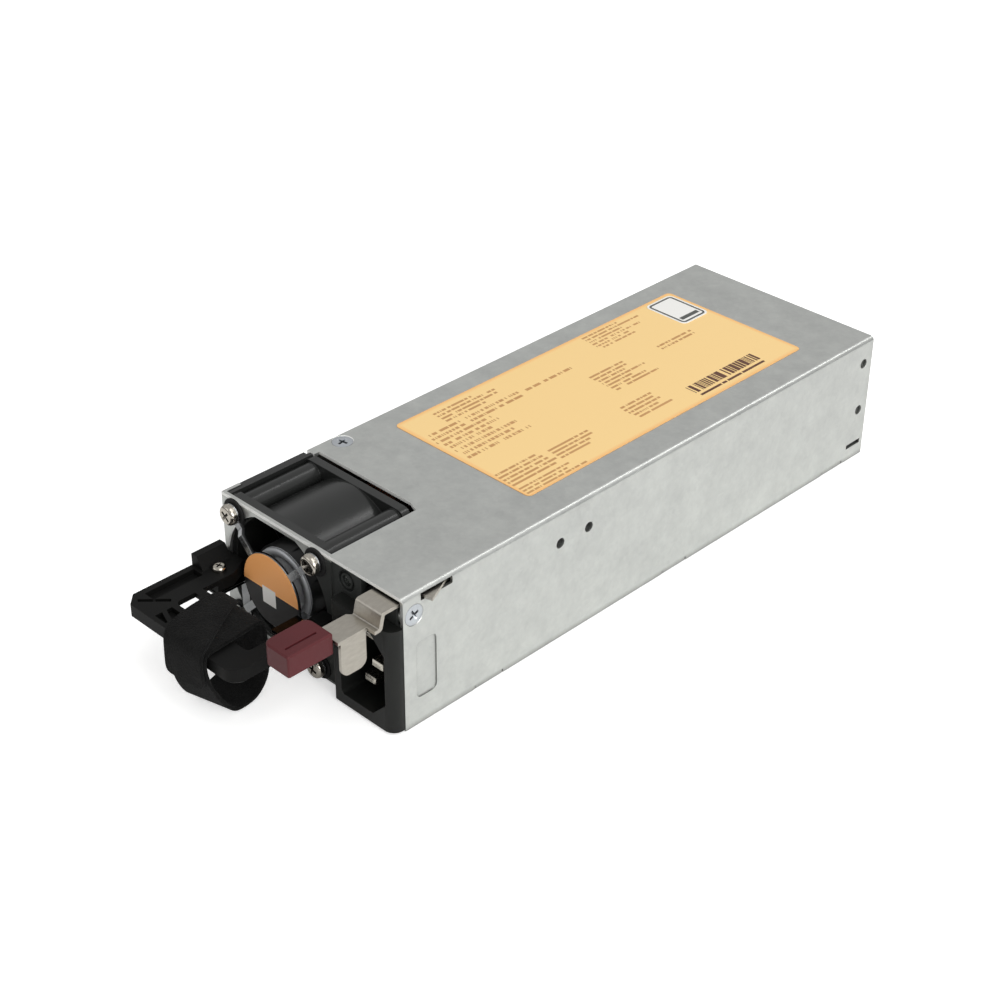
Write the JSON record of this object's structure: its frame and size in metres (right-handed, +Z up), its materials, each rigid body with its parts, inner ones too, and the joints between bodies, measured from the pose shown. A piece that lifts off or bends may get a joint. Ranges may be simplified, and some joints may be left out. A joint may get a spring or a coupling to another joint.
{
  "type": "hot swap server power supply",
  "caption": "Slim hot swap power supply for a rack server, with a fan, a pull handle, a release latch, a mains inlet and a card edge.",
  "frame": {"origin": "the middle of the case's bottom face, between its left and right sides and its front and rear ends", "axes": "+Z up, the fan and the inlet face -Y, the card edge leaves at +Y, the latch tooth stands out at +X"},
  "size_m": [0.0724, 0.2349, 0.0402],
  "materials": {
    "galvanised_steel": "satin",
    "zinc_steel": "bright zinc",
    "stainless_steel": "satin",
    "black_plastic": "fine grain",
    "dark_grey_plastic": "fine grain",
    "burgundy_plastic": "satin",
    "black_rubber": "matt",
    "black_webbing": "woven",
    "clear_lens": "gloss",
    "tinned_brass": "bright",
    "gold_contact": "bright",
    "copper": "satin",
    "green_laminate": "satin",
    "paper_label": "satin",
    "white_label": "satin",
    "disc_label": "satin",
    "insulating_film": "gloss",
    "ferrite": "matt",
    "aluminium": "satin",
    "black_sleeve": "gloss",
    "yellow_tape": "satin",
    "component_grey": "matt",
    "chip_black": "matt"
  },
  "bodies": {
    "case": {"chassis": "galvanised_steel", "cover": "galvanised_steel", "rear_panel": "galvanised_steel", "latch_bracket": "galvanised_steel", "side_screw": "zinc_steel", "top_screw": "zinc_steel", "bezel": "dark_grey_plastic", "led_lens": "clear_lens", "inlet_body": "black_plastic", "inlet_pins": "tinned_brass", "fan_frame": "black_plastic", "fan_stator": "ferrite", "fan_coils": "copper", "fan_grommets": "black_rubber", "fan_guard": "stainless_steel", "guard_label": "disc_label", "fan_screws": "zinc_steel", "handle": "black_plastic", "handle_screws": "stainless_steel", "cable_strap": "black_webbing", "lever_pivot": "stainless_steel", "lever_spring": "stainless_steel", "rating_label": "paper_label", "badge_label": "white_label", "main_board": "green_laminate", "insulator_sheet": "insulating_film", "board_standoffs": "zinc_steel", "board_screws": "zinc_steel", "edge_contacts": "gold_contact", "pfc_choke": "copper", "emi_choke": "copper", "bulk_capacitor": "black_sleeve", "x_capacitors": "component_grey", "relay": "component_grey", "fuse": "component_grey", "primary_heatsink": "aluminium", "mosfets": "chip_black", "bridge_rectifier": "chip_black", "transformer_core": "ferrite", "transformer_winding": "yellow_tape", "output_inductor": "ferrite", "output_capacitors": "aluminium", "output_busbars": "copper", "control_board": "green_laminate", "control_chips": "chip_black", "ac_leads": "black_sleeve", "fan_lead": "black_sleeve"},
    "rotor": {"fan_rotor": "black_plastic", "rotor_yoke": "stainless_steel", "fan_shaft": "stainless_steel", "hub_ring": "stainless_steel"},
    "latch": {"release_lever": "stainless_steel", "lever_grip": "burgundy_plastic"}
  },
  "joints": [
    {"name": "fan_spin", "type": "hinge", "parent": "case", "child": "rotor", "pos_m": [-0.0132, -0.083, 0.02], "axis": [0, 1, 0], "continuous": true},
    {"name": "latch_pivot", "type": "hinge", "parent": "case", "child": "latch", "pos_m": [0.0281, -0.0495, 0.0379], "axis": [0, 0, -1], "range_deg": [0, 4.6], "stiffness_Nm_per_rad": 3, "springref_deg": -5.73}
  ]
}
